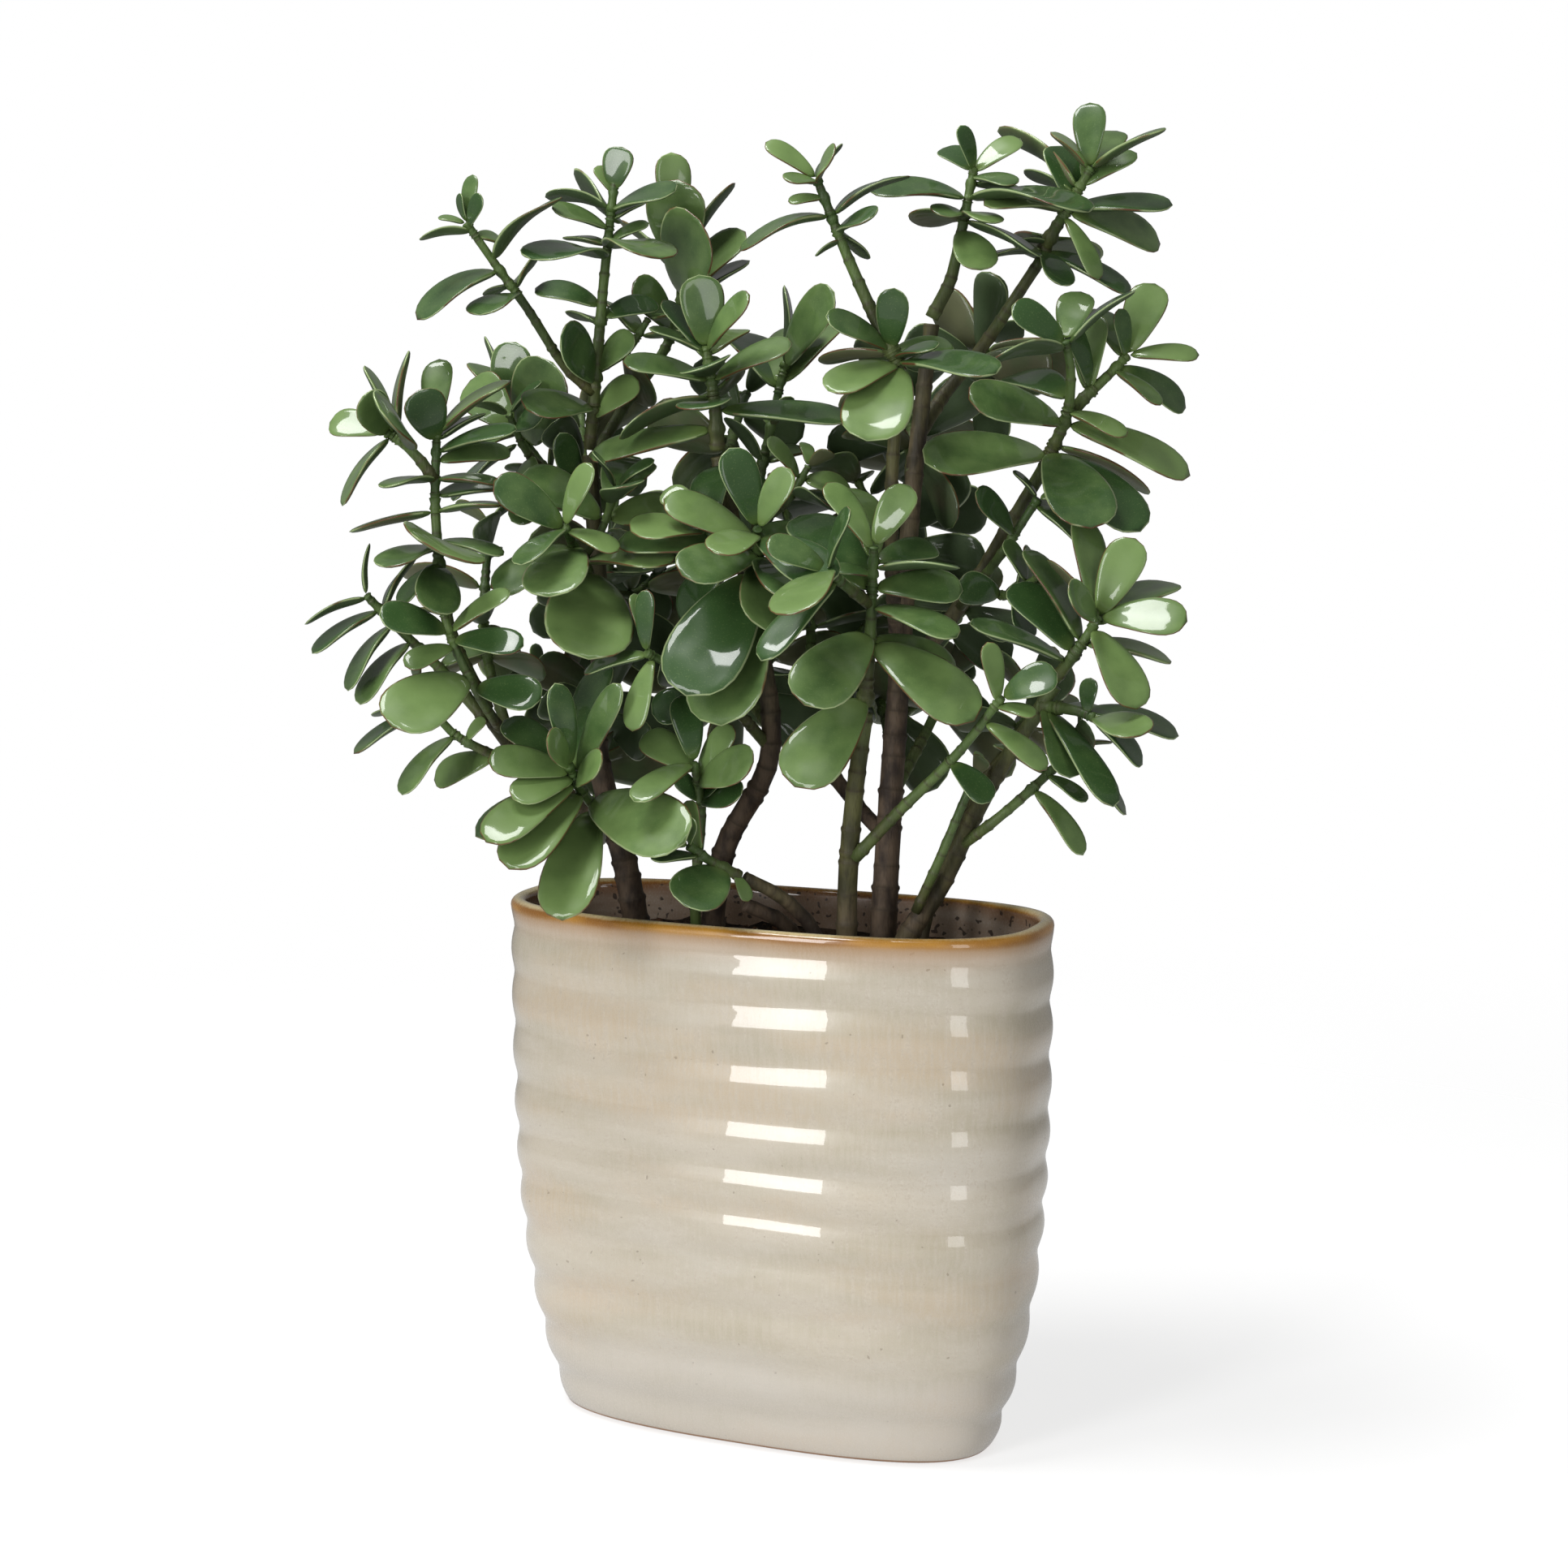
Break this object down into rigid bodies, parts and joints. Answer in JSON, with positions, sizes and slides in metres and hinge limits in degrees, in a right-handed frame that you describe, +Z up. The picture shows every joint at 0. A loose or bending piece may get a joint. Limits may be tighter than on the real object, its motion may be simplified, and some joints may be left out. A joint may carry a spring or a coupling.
{
  "type": "potted jade plant",
  "caption": "Branching succulent with fleshy oval leaves on woody stems, growing in an oval glazed stoneware planter with thrown ridges.",
  "frame": {"origin": "middle of the pot's flat underside", "axes": "+Z up, X along the pot's long side with +X to the right, -Y towards the side the plant shows best"},
  "size_m": [0.369, 0.2929, 0.6],
  "materials": {
    "glaze": "glossy cream glaze with fine speckle, streaks and an amber lip",
    "soil": "dark moist potting mix with grit and bark chips",
    "bark": "smooth grey-brown to olive bark ringed with old leaf scars",
    "leaf": "waxy, fleshy mid-green with a paler rim"
  },
  "bodies": {
    "root": {"pot": "glaze", "soil": "soil", "stem_main": "bark", "stem_front": "bark", "stem_right": "bark", "stem_back_right": "bark", "stem_middle": "bark", "stem_left": "bark", "stem_low_front": "bark", "cut_stump": "bark", "branch_left": "bark", "branch_middle": "bark", "branch_upper_right": "bark", "branch_top_right": "bark", "branch_centre": "bark", "shoot_left_tall": "leaf", "shoot_upper_left": "leaf", "shoot_left_behind": "leaf", "shoot_centre_tall": "leaf", "shoot_centre_behind": "leaf", "shoot_centre_front": "leaf", "shoot_front_tall": "leaf", "shoot_front_side": "leaf", "shoot_front_right": "leaf", "shoot_right": "leaf", "shoot_right_under": "leaf", "shoot_right_hanging": "leaf", "shoot_right_outer": "leaf", "shoot_right_inner": "leaf", "shoot_right_middle": "leaf", "shoot_right_top": "leaf", "shoot_top_right": "leaf", "shoot_top_centre": "leaf", "shoot_left_middle": "leaf", "shoot_left_inner": "leaf", "shoot_far_left": "leaf", "shoot_far_left_fork": "leaf", "shoot_left_front": "leaf", "shoot_far_left_low": "leaf", "shoot_left_bottom": "leaf", "shoot_front_left": "leaf", "shoot_low_front": "leaf", "shoot_centre_small": "leaf", "shoot_centre_low": "leaf", "shoot_sprout": "leaf", "shoot_back_left": "leaf", "shoot_back_left_high": "leaf", "shoot_back_centre": "leaf", "shoot_back_middle": "leaf", "shoot_back_right_low": "leaf", "shoot_back_right_high": "leaf", "shoot_back_far_right": "leaf", "shoot_back_side": "leaf", "shoot_back_top": "leaf", "shoot_back_far_left": "leaf", "shoot_back_top_left": "leaf", "shoot_back_top_right": "leaf", "shoot_back_centre_high": "leaf", "shoot_back_low_left": "leaf", "shoot_back_low_right": "leaf"}
  },
  "joints": []
}
